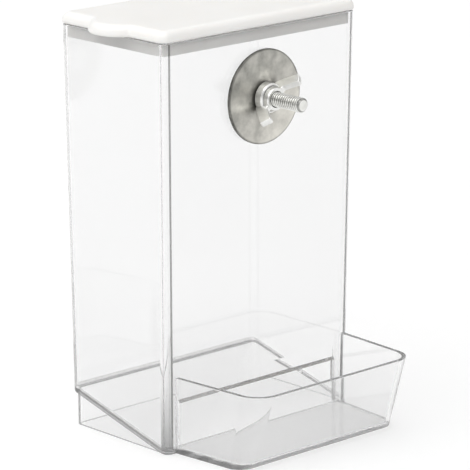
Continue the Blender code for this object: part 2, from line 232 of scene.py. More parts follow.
def clearStyrene():
    # polystyrene from a polished mould: hard clear shine, with smears of handling and the slow waves
    # of a moulded sheet. Where edges are marked, grey is painted into its colour: painted shade for the dark
    # lines a dark room seen through the edges would give
    material, tree = newMaterial("polystyrene_polished")
    edge = addNode(tree, "ShaderNodeAttribute", {"attribute_name": "edge"}).outputs["Fac"]
    where = addNode(tree, "ShaderNodeTexCoord").outputs["Object"]
    clear, shadeGrey = linearColour(styrene["clear"]), linearColour(styrene["edge"])
    # painted shade: the colour turns grey where the edge attribute is set
    tint = addNode(tree, "ShaderNodeMix", {"data_type": "RGBA"}, {"A": clear, "B": shadeGrey}, {"Factor": edge})
    smears = addNode(tree, "ShaderNodeTexNoise", values={"Scale": 1 / styrene["smear"], "Detail": 3},
                     links={"Vector": where})
    smooth, smeared = styrene["roughness"]
    polish = addNode(tree, "ShaderNodeMapRange",
                     values={"From Min": 0.35, "From Max": 0.7, "To Min": smooth, "To Max": smeared},
                     links={"Value": smears.outputs["Fac"]})
    gloss = addNode(tree, "ShaderNodeMix", values={"B": styrene["edgeRoughness"]},
                    links={"A": polish.outputs["Result"], "Factor": edge})
    waves = addNode(tree, "ShaderNodeTexNoise", values={"Scale": 1 / styrene["wave"], "Detail": 1},
                    links={"Vector": where})
    bump = addNode(tree, "ShaderNodeBump", values={"Strength": 0.25, "Distance": styrene["waveHeight"]},
                   links={"Height": waves.outputs["Fac"]})
    shader = addNode(tree, "ShaderNodeBsdfPrincipled", values={"Transmission Weight": 1.0, "IOR": 1.58},
                     links={"Base Color": tint.outputs["Result"], "Roughness": gloss.outputs["Result"],
                            "Normal": bump.outputs["Normal"]})
    body = addNode(tree, "ShaderNodeVolumeAbsorption",
                   values={"Color": linearColour(styrene["depth"]), "Density": styrene["density"]})
    # lamps shine through it, hardly dimmed
    veil = addNode(tree, "ShaderNodeBsdfTransparent", values={"Color": linearColour(styrene["veil"])})
    path = addNode(tree, "ShaderNodeLightPath").outputs
    both = addNode(tree, "ShaderNodeMixShader",
                   links={0: path["Is Shadow Ray"], 1: shader.outputs["BSDF"], 2: veil.outputs["BSDF"]})
    addNode(tree, "ShaderNodeOutputMaterial",
            links={"Surface": both.outputs["Shader"], "Volume": body.outputs["Volume"]})
    return material


polypropylene = {
    "darker": "#F4F2EE", "lighter": "#F8F7F5", "cloud": 18 * mm, "roughness": (0.32, 0.44),
    "grain": 0.5 * mm, "grainHeight": 0.02 * mm, "lightDepth": 1.5 * mm,
}


def whitePolypropylene():
    # polypropylene, moulded: milky white that light enters a little way, with a soft sheen that changes
    # slowly from place to place, and the mould's fine grain
    material, tree = newMaterial("polypropylene_white")
    where = addNode(tree, "ShaderNodeTexCoord").outputs["Object"]
    cloud = addNode(tree, "ShaderNodeTexNoise", values={"Scale": 1 / polypropylene["cloud"], "Detail": 2},
                    links={"Vector": where}).outputs["Fac"]
    darker, lighter = linearColour(polypropylene["darker"]), linearColour(polypropylene["lighter"])
    tint = addNode(tree, "ShaderNodeMix", {"data_type": "RGBA"}, {"A": darker, "B": lighter},
                   {"Factor": cloud})
    smooth, rough = polypropylene["roughness"]
    gloss = addNode(tree, "ShaderNodeMapRange", values={"To Min": smooth, "To Max": rough},
                    links={"Value": cloud})
    grain = addNode(tree, "ShaderNodeTexNoise", values={"Scale": 1 / polypropylene["grain"], "Detail": 2},
                    links={"Vector": where})
    bump = addNode(tree, "ShaderNodeBump",
                   values={"Strength": 0.15, "Distance": polypropylene["grainHeight"]},
                   links={"Height": grain.outputs["Fac"]})
    shader = addNode(tree, "ShaderNodeBsdfPrincipled",
                     values={"IOR": 1.49, "Subsurface Weight": 0.15, "Subsurface Radius": (1.0, 0.9, 0.8),
                             "Subsurface Scale": polypropylene["lightDepth"]},
                     links={"Base Color": tint.outputs["Result"], "Roughness": gloss.outputs["Result"],
                            "Normal": bump.outputs["Normal"]})
    addNode(tree, "ShaderNodeOutputMaterial", links={"Surface": shader.outputs["BSDF"]})
    return material


# sizes in millimetres. Painted shade lies on a stretch along the clamp's axis, from and to, and grows from
# its first radius to the dark one. Fans of painted sheen have their width at their radius
zincFinishes = {
    "zinc_plated_washer": {
        "dark": "#8E8E89", "pale": "#E4E1D9", "blotch": 5, "pit": 0.6, "shine": (0.5, 0.34),
        # painted sheen: fans round the hole; painted light: paler towards one side
        "paintedSheenFans": {"share": 0.35, "width": 8, "radius": 12},
        "paintedLightSide": {"share": 0.5, "side": (0.6, -0.8, 0), "reach": 13},
        # painted shade: darker round the hole under the nut, and a dark rim for the edge's shadow and dark
        # reflection
        "paintedShade": [{"from": 0, "to": 9, "shadeStart": 8.5, "dark": 5.0},
                 {"from": 0, "to": 9, "shadeStart": 15.2, "dark": 15.9}],
    },
    "zinc_plated_bolt": {
        "dark": "#E0E0DC", "pale": "#F2F2EE", "blotch": 3, "pit": 0.4, "shine": (0.36, 0.29),
        # painted shade: dark thread roots, and a dark ring on the tip's chamfer for its dark reflection
        "paintedShade": [{"from": -4, "to": 18.85, "shadeStart": 2.38, "dark": 2.18},
                 {"from": 18.85, "to": 20, "shadeStart": 1.7, "dark": 1.95}],
    },
    "zinc_plated_wing_nut": {
        "dark": "#E6E6E3", "pale": "#F4F4F2", "blotch": 4, "pit": 0.8, "shine": (0.36, 0.29),
        # painted shade: a dark ring in the crease at the hub's step
        "paintedShade": [{"from": 4.6, "to": 5.1, "shadeStart": 4.6, "dark": 4.2}],
    },
}
# the colour of painted shade
paintedShadeColour = "#3E3D3A"


def zincPlate(name):
    # steel with bright zinc plate: cool grey metal, cloudy in patches, with painted shade in listed rings:
    # thread roots, tip chamfer, round the hole, rims and steps
    finish = zincFinishes[name]
    material, tree = newMaterial(name)
    where = addNode(tree, "ShaderNodeTexCoord").outputs["Object"]
    local = addNode(tree, "ShaderNodeMapping", {"vector_type": "TEXTURE"},
                    {"Location": nutJoint["pos_m"], "Rotation": (clampTurn, 0, 0), "Scale": (mm, mm, mm)},
                    {"Vector": where}).outputs["Vector"]
    along = addNode(tree, "ShaderNodeSeparateXYZ", links={0: local}).outputs["Z"]
    across = addNode(tree, "ShaderNodeVectorMath", {"operation": "MULTIPLY"}, {1: (1, 1, 0)},
                     {0: local}).outputs["Vector"]
    radius = addNode(tree, "ShaderNodeVectorMath", {"operation": "LENGTH"},
                     links={0: across}).outputs["Value"]

    clouds = addNode(tree, "ShaderNodeTexNoise",
                     values={"Scale": 1 / finish["blotch"], "Detail": 5, "Roughness": 0.6},
                     links={"Vector": local}).outputs["Fac"]
    spread = addNode(tree, "ShaderNodeMapRange", values={"From Min": 0.35, "From Max": 0.65},
                     links={"Value": clouds}).outputs["Result"]
    pale = spread
    if "paintedSheenFans" in finish:
        # painted sheen: fans of light and dark painted round the hole stand in for a turned face's
        # highlights, and painted light makes it paler towards its lower right
        paintedSheenFans, paintedLightSide = finish["paintedSheenFans"], finish["paintedLightSide"]
        way = addNode(tree, "ShaderNodeVectorMath", {"operation": "NORMALIZE"}, links={0: across})
        rays = addNode(tree, "ShaderNodeTexNoise",
                       values={"Scale": paintedSheenFans["radius"] / paintedSheenFans["width"], "Detail": 3},
                       links={"Vector": way.outputs["Vector"]})
        sheenFan = addNode(tree, "ShaderNodeMapRange", values={"From Min": 0.35, "From Max": 0.65},
                      links={"Value": rays.outputs["Fac"]})
        turned = addNode(tree, "ShaderNodeMix", values={"Factor": paintedSheenFans["share"]},
                         links={"A": spread, "B": sheenFan.outputs["Result"]})
        slant = addNode(tree, "ShaderNodeVectorMath", {"operation": "DOT_PRODUCT"}, {1: paintedLightSide["side"]},
                        {0: local})
        fall = addNode(tree, "ShaderNodeMapRange",
                       values={"From Min": -paintedLightSide["reach"], "From Max": paintedLightSide["reach"]},
                       links={"Value": slant.outputs["Value"]})
        pale = addNode(tree, "ShaderNodeMix", values={"Factor": paintedLightSide["share"]},
                       links={"A": turned.outputs["Result"], "B": fall.outputs["Result"]}).outputs["Result"]
    tint = addNode(tree, "ShaderNodeMix", {"data_type": "RGBA"},
                   {"A": linearColour(finish["dark"]), "B": linearColour(finish["pale"])},
                   {"Factor": pale}).outputs["Result"]
    patchy = addNode(tree, "ShaderNodeMapRange",
                   values={"From Min": 0.2, "From Max": 0.5, "To Min": 1.0, "To Max": 0.6},
                   links={"Value": clouds}).outputs["Result"]
    # painted shade: darkens the colour in each listed ring, patchy by the clouds
    for paintedShade in finish["paintedShade"]:
        ring = addNode(tree, "ShaderNodeMapRange", {"interpolation_type": "SMOOTHSTEP"},
                       {"From Min": paintedShade["shadeStart"], "From Max": paintedShade["dark"]}, {"Value": radius})
        above = addNode(tree, "ShaderNodeMath", {"operation": "GREATER_THAN"}, {1: paintedShade["from"]}, {0: along})
        below = addNode(tree, "ShaderNodeMath", {"operation": "LESS_THAN"}, {1: paintedShade["to"]}, {0: along})
        amount = ring.outputs["Result"]
        for share in (patchy, above.outputs["Value"], below.outputs["Value"]):
            amount = addNode(tree, "ShaderNodeMath", {"operation": "MULTIPLY"},
                             links={0: amount, 1: share}).outputs["Value"]
        tint = addNode(tree, "ShaderNodeMix", {"data_type": "RGBA"}, {"B": linearColour(paintedShadeColour)},
                       {"A": tint, "Factor": amount}).outputs["Result"]
    dull, bright = finish["shine"]
    gloss = addNode(tree, "ShaderNodeMapRange", values={"To Min": dull, "To Max": bright},
                    links={"Value": spread})
    pits = addNode(tree, "ShaderNodeTexNoise", values={"Scale": 1 / finish["pit"], "Detail": 3},
                   links={"Vector": local})
    bump = addNode(tree, "ShaderNodeBump", values={"Strength": 0.2, "Distance": 0.03 * mm},
                   links={"Height": pits.outputs["Fac"]})
    shader = addNode(tree, "ShaderNodeBsdfPrincipled", values={"Metallic": 1.0},
                     links={"Base Color": tint, "Roughness": gloss.outputs["Result"],
                            "Normal": bump.outputs["Normal"]})
    addNode(tree, "ShaderNodeOutputMaterial", links={"Surface": shader.outputs["BSDF"]})
    return material


clearPlastic = clearStyrene()
lidPlastic = whitePolypropylene()
washerSteel = zincPlate("zinc_plated_washer")
boltSteel = zincPlate("zinc_plated_bolt")
nutSteel = zincPlate("zinc_plated_wing_nut")
print("materials made")


# hopper: four drafted walls, open at the top, with the window at the foot of the front wall

hopper = {
    "height": 138.5, "topWidth": 87.5, "topDepth": 51.5, "wall": 2.0, "draft": math.radians(0.66),
    # the edge and corner-foot depths set how grey the painted shade is at the front corners
    "corner": 3.0, "innerCorner": 0.85, "rimRound": 0.35, "edgeTurn": math.radians(14), "edgeShade": 1.0,
    "cornerFoot": 26.0, "cornerFootShade": 1.0,
    "windowLeg": 6.6, "windowTop": 17.0, "windowRise": 1.0, "lipHeight": 4.4, "lipThinning": 0.25,
    "boltHole": 2.8, "holeSides": 64, "weld": -0.03, "cornerSteps": 18, "roundSteps": 4,
}


def halfWidth(z):
    return hopper["topWidth"] / 2 - (hopper["height"] - z) * math.tan(hopper["draft"])


def halfDepth(z):
    return hopper["topDepth"] / 2 - (hopper["height"] - z) * math.tan(hopper["draft"])


def wallRing(z, grow, radius):
    plan = roundedRectangle(halfWidth(z) + grow, halfDepth(z) + grow, radius, hopper["cornerSteps"])
    return atHeight(plan, z)


base = {
    "floor": 1.8, "slope": math.radians(14.6), "bendRadius": 8.0, "bendInset": 1.2, "lip": 0.25,
    "skirtInset": 0.9, "skirtWall": 1.6, "skirtCorner": 3.0, "skirtInnerCorner": 1.4,
    "reach": 38.0, "height": 26.5, "wall": 1.5, "rearInset": 3.1, "sideTaper": 2.7, "sideLean": 0.4,
    "frontLean": 9.0, "rimCorner": 8.6, "floorCorner": 5.5, "rearRound": 1.2, "rearLift": 0.06, "gap": 0.3,
    # the edge depth sets how grey the painted shade is on the tray's edges
    "rimRound": 0.4, "heelRound": 0.4, "insideRound": 0.7, "edgeShade": 0.82,
    "cornerSteps": 20, "roundSteps": 4, "bendSteps": 8,
}
footWidth = halfWidth(0)
footDepth = halfDepth(0)


def floorPath(lift):
    bend = -footDepth + base["bendInset"]
    tangent = base["bendRadius"] * math.tan(base["slope"] / 2)
    level = base["floor"] + lift
    centre = (bend - tangent, level + base["bendRadius"])
    start = -math.pi / 2
    curve = arcPoints(centre, base["bendRadius"], start, start + base["slope"], base["bendSteps"])
    far = footDepth * 2
    return [(-far, level)] + curve + [(far, level + (far - bend) * math.tan(base["slope"]))]


def underFloor(name, lift):  # a block of all that lies below the floor's path
    far = footDepth * 2
    deep = -hopper["height"]
    return prismAcross(name, floorPath(lift) + [(far, deep), (-far, deep)], hopper["topWidth"])


def makeHopper():
    height, wall = hopper["height"], hopper["wall"]
    corner, innerCorner = hopper["corner"], hopper["innerCorner"]
    rim = roundOver(hopper["rimRound"], hopper["roundSteps"])
    rings = [wallRing(z, 0, corner) for z in (0, hopper["cornerFoot"])]
    rings += [wallRing(height - down, -back, corner) for down, back in rim]
    rings += [wallRing(height - down, back - wall, innerCorner) for back, down in rim]
    rings.append(wallRing(0, -wall, innerCorner))
    shell = loft("clear_hopper", rings, hollow=True)
    combine(shell, "DIFFERENCE", underFloor("foot", hopper["weld"]))

    # the window's upper edge rises inwards and the wall thins towards it on the inside
    edgeTop = hopper["windowTop"] + hopper["windowRise"]
    lipTop = edgeTop + hopper["lipHeight"]
    outer = -halfDepth(hopper["windowTop"])
    inner = -halfDepth(lipTop) + wall
    edge = inner - hopper["lipThinning"]
    beyond = wall * 2
    outerTop = hopper["windowTop"] - hopper["windowRise"] / (edge - outer) * beyond
    window = [(edge, edgeTop), (inner, lipTop), (inner + beyond, lipTop), (inner + beyond, -beyond),
              (outer - beyond, -beyond), (outer - beyond, outerTop)]
    combine(shell, "DIFFERENCE", prismAcross("window", window, footWidth - hopper["windowLeg"]))

    hole = [circle(hopper["boltHole"], z, hopper["holeSides"]) for z in (-beyond, wall)]
    combine(shell, "DIFFERENCE", loft("hole", hole, place=clampPlace))
    settleNormals(shell)

    turned = math.sin(hopper["edgeTurn"])
    frontFace = 0.05  # the forward part of a normal, at least, on the front wall and its corners
    flatFace = 0.01  # the sideways part of a normal, at most, on the flat of the front wall
    levelFace = 0.5  # the upright part of a normal, at least, on the rim and the window's edge

    # painted shade: grey painted where each front corner runs out into the front wall, fading up from the
    # corner's foot
    def hopperEdgeShade(centre, normal, spot):
        if centre.y > 0 or normal.y > -frontFace or abs(normal.x) < flatFace or abs(normal.z) > levelFace:
            return 0.0
        if abs(normal.x) < turned:
            return hopper["edgeShade"]
        return hopper["cornerFootShade"] * max(0.0, 1 - spot.z / hopper["cornerFoot"])

    paintEdgeShade(shell, hopperEdgeShade)
    stand(shell, "hopper_shell", "feeder", clearPlastic)


# base: the sloped floor, the tray that it runs into and the skirt, one moulding

def trayPlan(z, grow, rear):
    share = z / base["height"]
    corner = base["floorCorner"] + (base["rimCorner"] - base["floorCorner"]) * share + grow
    lean = (1 - share) * base["sideLean"]
    front = -footDepth - base["reach"] + (1 - share) * base["frontLean"] - grow
    rearX = footWidth - base["rearInset"] - lean + grow
    frontX = rearX - base["sideTaper"]
    corners = [(rearX, rear), (-rearX, rear), (-frontX, front), (frontX, front)]
    return atHeight(roundCorners(corners, [0, 0, corner, corner], base["cornerSteps"]), z)


def makeBase():
    height, wall, floor = base["height"], base["wall"], base["floor"]
    rear = -footDepth + base["bendInset"]
    innerRear = rear - base["gap"]
    heel = roundOver(base["heelRound"], base["roundSteps"])
    rim = roundOver(base["rimRound"], base["roundSteps"])
    inside = roundOver(base["insideRound"], base["roundSteps"])
    rings = [trayPlan(up, -back, rear) for back, up in heel]
    rings.append(trayPlan(floor, 0, rear))  # the floor's edge shows as a band below this
    rings += [trayPlan(height - down, -back, rear) for down, back in rim]
    rings += [trayPlan(height - down, back - wall, innerRear) for back, down in rim]
    rings += [trayPlan(floor + up, -wall - back, innerRear) for up, back in inside]
    tray = loft("clear_base", rings)

    # the tray's walls stop at the front wall, with their upper rear corners rounded
    over = height + spare
    foot = -halfDepth(floor) - base["gap"]
    back = -halfDepth(height) - base["gap"]
    centre = (back - base["rearRound"], height - base["rearRound"] + base["rearLift"])
    rounded = arcPoints(centre, base["rearRound"], 0, math.pi / 2, base["bendSteps"])
    behind = [(centre[0], over), (0, over), (0, floor), (foot, floor)]
    combine(tray, "DIFFERENCE", prismAcross("clearance", rounded + behind, hopper["topWidth"]))

    edgeX = footWidth + base["lip"]
    edgeY = footDepth + base["lip"]
    corner = hopper["corner"] + base["lip"]
    plan = roundedRectangle(edgeX, edgeY, corner, hopper["cornerSteps"])
    plate = loft("plate", [atHeight(plan, z) for z in (-hopper["height"], hopper["height"])])
    section = floorPath(0) + floorPath(-floor)[::-1]
    combine(plate, "INTERSECT", prismAcross("section", section, hopper["topWidth"]))
    combine(tray, "UNION", plate)

    outerX = edgeX - base["skirtInset"]
    outerY = edgeY - base["skirtInset"]
    innerX = outerX - base["skirtWall"]
    innerY = outerY - base["skirtWall"]
    outside = roundedRectangle(outerX, outerY, base["skirtCorner"], hopper["cornerSteps"])
    within = roundedRectangle(innerX, innerY, base["skirtInnerCorner"], hopper["cornerSteps"])
    rings = [atHeight(outside, 0), atHeight(outside, hopper["height"]),
             atHeight(within, hopper["height"]), atHeight(within, 0)]
    skirt = loft("skirt", rings, hollow=True)
    combine(skirt, "INTERSECT", underFloor("under", -floor / 2))
    combine(tray, "UNION", skirt)
    settleNormals(tray)

    crownFace = 0.6  # the upward part of a normal, at least, on the rim's crown
    levelFace = 0.75  # the upright part of a normal, at least, on the floor
    rearFace = 0.7  # the rearward part of a normal, at least, on the rear ends of the walls
    onEdge = 0.1  # millimetres from the floor's outline, at most

    # painted shade: grey painted on the floor's outer edge, the tray's rim and the rear ends of its walls
    def baseEdgeShade(centre, normal, spot):
        past = Vector((abs(centre.x) - edgeX + corner, abs(centre.y) - edgeY + corner))
        out = max(past.x, past.y) if min(past) < 0 else past.length
        if centre.z > height - base["rimRound"] and normal.z > crownFace:
            edge = True
        elif abs(normal.z) > levelFace:
            edge = False
        elif centre.z > floor and normal.y > rearFace and abs(centre.y + edgeY) < wall:
            edge = True
        elif centre.y < -edgeY:
            edge = centre.z < floor and normal.dot(Vector((centre.x, centre.y + edgeY, 0))) > 0
        else:
            edge = abs(out - corner) < onEdge and normal.y < rearFace
        return base["edgeShade"] if edge else 0.0

    paintEdgeShade(tray, baseEdgeShade)
    stand(tray, "base_tray", "feeder", clearPlastic)


makeHopper()
makeBase()
print("clear mouldings made")


# lid: a plate with rounded upper edge, a finger tab each side and a plug ring below

lid = {
    "overhang": 0.25, "thickness": 3.9, "edgeRound": 2.925, "footRound": 0.7, "lift": 0.3,
    "plugDepth": 4.3, "plugWall": 1.5, "plugFit": 0.35, "plugCorner": 0.65, "plugInnerCorner": 0.5,
    "plugRoot": 1.0, "tabReach": 5.6, "tabRadius": 11.2, "tabFillet": 2.0, "steps": 12, "footSteps": 3,
}


def lidPlan(inset):
    halfX = hopper["topWidth"] / 2 + lid["overhang"]
    halfY = hopper["topDepth"] / 2 + lid["overhang"]
    corner = hopper["corner"] + lid["overhang"]
    fillet = lid["tabFillet"] + inset
    tabX = halfX + lid["tabReach"] - lid["tabRadius"]
    filletX = halfX + lid["tabFillet"]
    filletY = math.sqrt((lid["tabRadius"] + lid["tabFillet"]) ** 2 - (filletX - tabX) ** 2)
    meet = math.atan2(filletY, filletX - tabX)
    right = math.pi / 2
    steps = lid["steps"]
    points = []
    for side, way in ((0, 1), (math.pi, -1)):
        back = side + math.pi
        cornerX, cornerY = way * (halfX - corner), way * (halfY - corner)
        points += arcPoints((cornerX, -cornerY), corner - inset, side - right, side, steps)
        points += arcPoints((way * filletX, -way * filletY), fillet, back, back - meet, steps)
        points += arcPoints((way * tabX, 0), lid["tabRadius"] - inset, side - meet, side + meet, 2 * steps)
        points += arcPoints((way * filletX, way * filletY), fillet, back + meet, back, steps)
        points += arcPoints((cornerX, cornerY), corner - inset, side, side + right, steps)
    return points


def makeLid():
    low = hopper["height"] + lid["lift"]
    top = low + lid["thickness"]
    foot = roundOver(lid["footRound"], lid["footSteps"])
    crown = roundOver(lid["edgeRound"], lid["steps"])
    rings = [atHeight(lidPlan(back), low + up) for back, up in foot]
    rings += [atHeight(lidPlan(back), top - down) for down, back in crown]
    plate = loft("white_lid", rings)
    outer = hopper["wall"] + lid["plugFit"]
    inner = outer + lid["plugWall"]
    bottom = hopper["height"] - lid["plugDepth"]
    root = low + lid["plugRoot"]
    plugX, plugY = halfWidth(bottom), halfDepth(bottom)
    outside = roundedRectangle(plugX - outer, plugY - outer, lid["plugCorner"], lid["steps"])
    within = roundedRectangle(plugX - inner, plugY - inner, lid["plugInnerCorner"], lid["steps"])
    rings = [atHeight(outside, bottom), atHeight(outside, root),
             atHeight(within, root), atHeight(within, bottom)]
    combine(plate, "UNION", loft("plug", rings, hollow=True))
    settleNormals(plate)
    stand(plate, "lid", "lid", lidPlastic)


makeLid()
print("lid made")


# bolt, washers and wing nut

clamp = {  # the thread's pitch is drawn a little coarser than the bolt's 0.8, so that it shows
    "boltRadius": 2.5, "reach": 19.5, "chamfer": 0.6, "pitch": 0.95, "threadDepth": 0.48,
    "threadSteepness": 1.4, "threadRows": 10, "threadSides": 64, "headRadius": 4.75, "headHeight": 3.0,
    "headDome": 1.5, "headEdge": 0.25, "headSteps": 10, "headRoot": 1.0, "slotWidth": 1.2, "slotDepth": 1.4,
    "gap": 0.3, "bore": 2.8, "washer": 1.2, "washerEdge": 0.3, "washerSteps": 4, "frontWasher": 16.0,
    "innerWasher": 7.5, "sharp": 40,
}
nut = {
    "seat": 1.8, "baseRadius": 5.3, "shoulderRadius": 5.0, "shoulder": 3.0, "step": 0.2, "topRadius": 4.1,
    "topTaper": 0.1, "height": 5.2, "edge": 0.4, "span": 22.4, "wingHeight": 9.8, "thickness": 2.2,
    "foot": 0.6, "rootRound": 2.0, "tipWidth": 2.9, "tipHeight": 2.8, "tipRound": 0.6, "roundSteps": 8,
    "wingEdge": 0.28, "wingEdgeSteps": 3, "wingSharp": 40, "sharp": 35, "angle": math.radians(40),
}


def threadTree():
    tree = bpy.data.node_groups.new("bolt_thread", "GeometryNodeTree")
    inputs = dict.fromkeys(("Length", "Radius", "Pitch", "Depth", "Steepness", "Chamfer"), "NodeSocketFloat")
    inputs.update({"Rows": "NodeSocketInt", "Sides": "NodeSocketInt", "Material": "NodeSocketMaterial"})
    for name, kind in inputs.items():
        tree.interface.new_socket(name, in_out="INPUT", socket_type=kind)
    tree.interface.new_socket("Geometry", in_out="OUTPUT", socket_type="NodeSocketGeometry")
    given = addNode(tree, "NodeGroupInput").outputs

    # a flat grid, one side round the bolt and the other along it
    sheet = addNode(tree, "GeometryNodeMeshGrid", values={"Size X": math.tau}, links={
        "Size Y": given["Length"], "Vertices X": given["Sides"], "Vertices Y": given["Rows"]})
    where = addNode(tree, "GeometryNodeInputPosition").outputs["Position"]
    spot = addNode(tree, "ShaderNodeSeparateXYZ", links={"Vector": where}).outputs
    known = {socket.name: socket for socket in given}
    known.update({"x": spot["X"], "y": spot["Y"]})
    steps = (  # name, operation, and two numbers or names of sizes and earlier steps
        ("half", "MULTIPLY", "Length", 0.5), ("along", "ADD", "y", "half"),
        ("gaps", "SUBTRACT", "Rows", 1.0), ("row", "DIVIDE", "Length", "gaps"),
        ("halfRow", "MULTIPLY", "row", 0.5),
        # the thread winds up the bolt, flat on its crests and roots
        ("turns", "DIVIDE", "along", "Pitch"), ("winding", "MULTIPLY", "turns", math.tau),
        ("phase", "SUBTRACT", "winding", "x"), ("wave", "COSINE", "phase", 0.0),
        ("steep", "MULTIPLY", "wave", "Steepness"), ("crest", "MINIMUM", "steep", 1.0),
        ("ridge", "MAXIMUM", "crest", -1.0), ("rise", "MULTIPLY", "Depth", 0.5),
        ("swell", "MULTIPLY", "ridge", "rise"), ("middle", "SUBTRACT", "Radius", "rise"),
        ("thread", "ADD", "middle", "swell"),
        # the end is chamfered
        ("last", "SUBTRACT", "Length", "row"), ("shoulder", "SUBTRACT", "last", "Chamfer"),
        ("past", "SUBTRACT", "along", "shoulder"), ("cut", "MAXIMUM", "past", 0.0),
        ("cone", "SUBTRACT", "Radius", "cut"), ("outer", "MINIMUM", "thread", "cone"),
        # the rows at both ends close on the axis
        ("top", "ADD", "last", "halfRow"), ("belowTop", "LESS_THAN", "along", "top"),
        ("aboveFoot", "GREATER_THAN", "along", "halfRow"), ("open", "MULTIPLY", "belowTop", "aboveFoot"),
        ("radius", "MULTIPLY", "outer", "open"), ("capped", "MINIMUM", "along", "last"),
        ("height", "MAXIMUM", "capped", "row"),
        ("cosine", "COSINE", "x", 0.0), ("sine", "SINE", "x", 0.0),
        ("placeX", "MULTIPLY", "radius", "cosine"), ("placeY", "MULTIPLY", "radius", "sine"),
    )
    for name, operation, *terms in steps:
        numbers = {i: term for i, term in enumerate(terms) if isinstance(term, float)}
        sources = {i: known[term] for i, term in enumerate(terms) if isinstance(term, str)}
        known[name] = addNode(tree, "ShaderNodeMath", {"operation": operation}, numbers, sources).outputs[0]
    place = addNode(tree, "ShaderNodeCombineXYZ",
                    links={"X": known["placeX"], "Y": known["placeY"], "Z": known["height"]})
    wound = addNode(tree, "GeometryNodeSetPosition",
                    links={"Geometry": sheet.outputs["Mesh"], "Position": place.outputs["Vector"]})
    closed = addNode(tree, "GeometryNodeMergeByDistance", values={"Distance": 0.001},
                     links={"Geometry": wound.outputs["Geometry"]})
    real = addNode(tree, "GeometryNodeRealizeInstances", links={"Geometry": closed.outputs["Geometry"]})
    coated = addNode(tree, "GeometryNodeSetMaterial",
                     links={"Geometry": real.outputs["Geometry"], "Material": given["Material"]})
    addNode(tree, "NodeGroupOutput", links={"Geometry": coated.outputs["Geometry"]})
    return tree


def makeBolt():
    seat = -hopper["wall"] - 2 * clamp["gap"] - clamp["washer"]
    length = clamp["reach"] - seat + clamp["headRoot"]  # its lowest stretch is in the head
    drawn = clamp["threadRows"] * round(length / clamp["pitch"])
    rows = drawn + 3  # one more closes the count, and one at each end lies on the axis
    tree = threadTree()
    shank = bpy.data.objects.new("zinc_bolt", bpy.data.meshes.new("zinc_bolt"))
    scene.collection.objects.link(shank)
    wind = shank.modifiers.new("thread", "NODES")
    wind.node_group = tree
    sizes = {
        "Length": length * (rows - 1) / drawn, "Radius": clamp["boltRadius"], "Pitch": clamp["pitch"],
        "Depth": clamp["threadDepth"], "Steepness": clamp["threadSteepness"], "Chamfer": clamp["chamfer"],
        "Rows": rows, "Sides": clamp["threadSides"] + 1, "Material": boltSteel,
    }
    for item in tree.interface.items_tree:
        if item.in_out == "INPUT":
            wind[item.identifier] = sizes[item.name]
    bake(shank)
    top = max(v.co.z for v in shank.data.vertices)
    shank.data.transform(clampPlace @ Matrix.Translation((0, 0, clamp["reach"] - top)))

    radius, edge = clamp["headRadius"], clamp["headEdge"]
    low = seat - clamp["headHeight"]
    rings = [circle(radius - edge, seat), circle(radius, seat - edge)]
    dome = roundOver(clamp["headDome"], clamp["headSteps"])
    rings += [circle(radius - back, low + up) for up, back in dome]
    head = loft("head", rings, place=clampPlace)
    half = clamp["slotWidth"] / 2
    floor = low + clamp["slotDepth"]
    end = radius + spare
    cross = [(-half, floor), (half, floor), (half, low - spare), (-half, low - spare)]
    slot = [[(x, y, z) for y, z in cross] for x in (-end, end)]
    combine(head, "DIFFERENCE", loft("slot", slot, place=clampPlace))
    combine(shank, "UNION", head)
    settleNormals(shank, clamp["sharp"])
    stand(shank, "clamp_bolt", "feeder", boltSteel)


def makeWasher(name, node, body, radius, low):
    high = low + clamp["washer"]
    edge = roundOver(clamp["washerEdge"], clamp["washerSteps"])
    rings = [circle(clamp["bore"], low)]
    rings += [circle(radius - back, low + up) for back, up in edge]
    rings += [circle(radius - back, high - down) for down, back in edge]
    rings.append(circle(clamp["bore"], high))
    washer = loft(name, rings, hollow=True, place=clampPlace)
    settleNormals(washer, clamp["sharp"])
    stand(washer, node, body, washerSteel)


def makeNut():
    edge, step, height = nut["edge"], nut["shoulder"], nut["height"]
    lower, middle, upper = nut["baseRadius"], nut["shoulderRadius"], nut["topRadius"]
    rings = [circle(lower - edge, 0), circle(lower, edge),
             circle(middle, step - edge), circle(middle - edge, step), circle(upper, step + nut["step"]),
             circle(upper - nut["topTaper"], height - edge), circle(upper - edge, height)]
    place = clampPlace @ Matrix.Translation((0, 0, nut["seat"])) @ Matrix.Rotation(nut["angle"], 4, "Z")
    hub = loft("zinc_wing_nut", rings, place=place)

    root, reach = clamp["boltRadius"], nut["span"] / 2
    foot, shoulder = nut["foot"], height - edge
    wing = [(root, edge), (lower + foot, edge), (reach, nut["wingHeight"] - nut["tipHeight"]),
            (reach - nut["tipWidth"], nut["wingHeight"]), (upper + foot, shoulder), (root, shoulder)]
    tip = nut["tipRound"]
    outline = roundCorners(wing, [0, nut["rootRound"], tip, tip, tip, 0], nut["roundSteps"])
    half = nut["thickness"] / 2
    for way in (1, -1):
        blade = loft("wing", [[(way * r, y, h) for r, h in outline] for y in (-half, half)], place=place)
        bevel = blade.modifiers.new("edge", "BEVEL")
        bevel.width = nut["wingEdge"] * mm
        bevel.segments = nut["wingEdgeSteps"]
        bevel.limit_method = "ANGLE"
        bevel.angle_limit = math.radians(nut["wingSharp"])
        bake(blade)
        combine(hub, "UNION", blade)
    bore = [circle(clamp["bore"], z) for z in (-spare, height + spare)]
    combine(hub, "DIFFERENCE", loft("bore", bore, place=place))
    settleNormals(hub, nut["sharp"])
    stand(hub, "wing_nut", "nut", nutSteel)


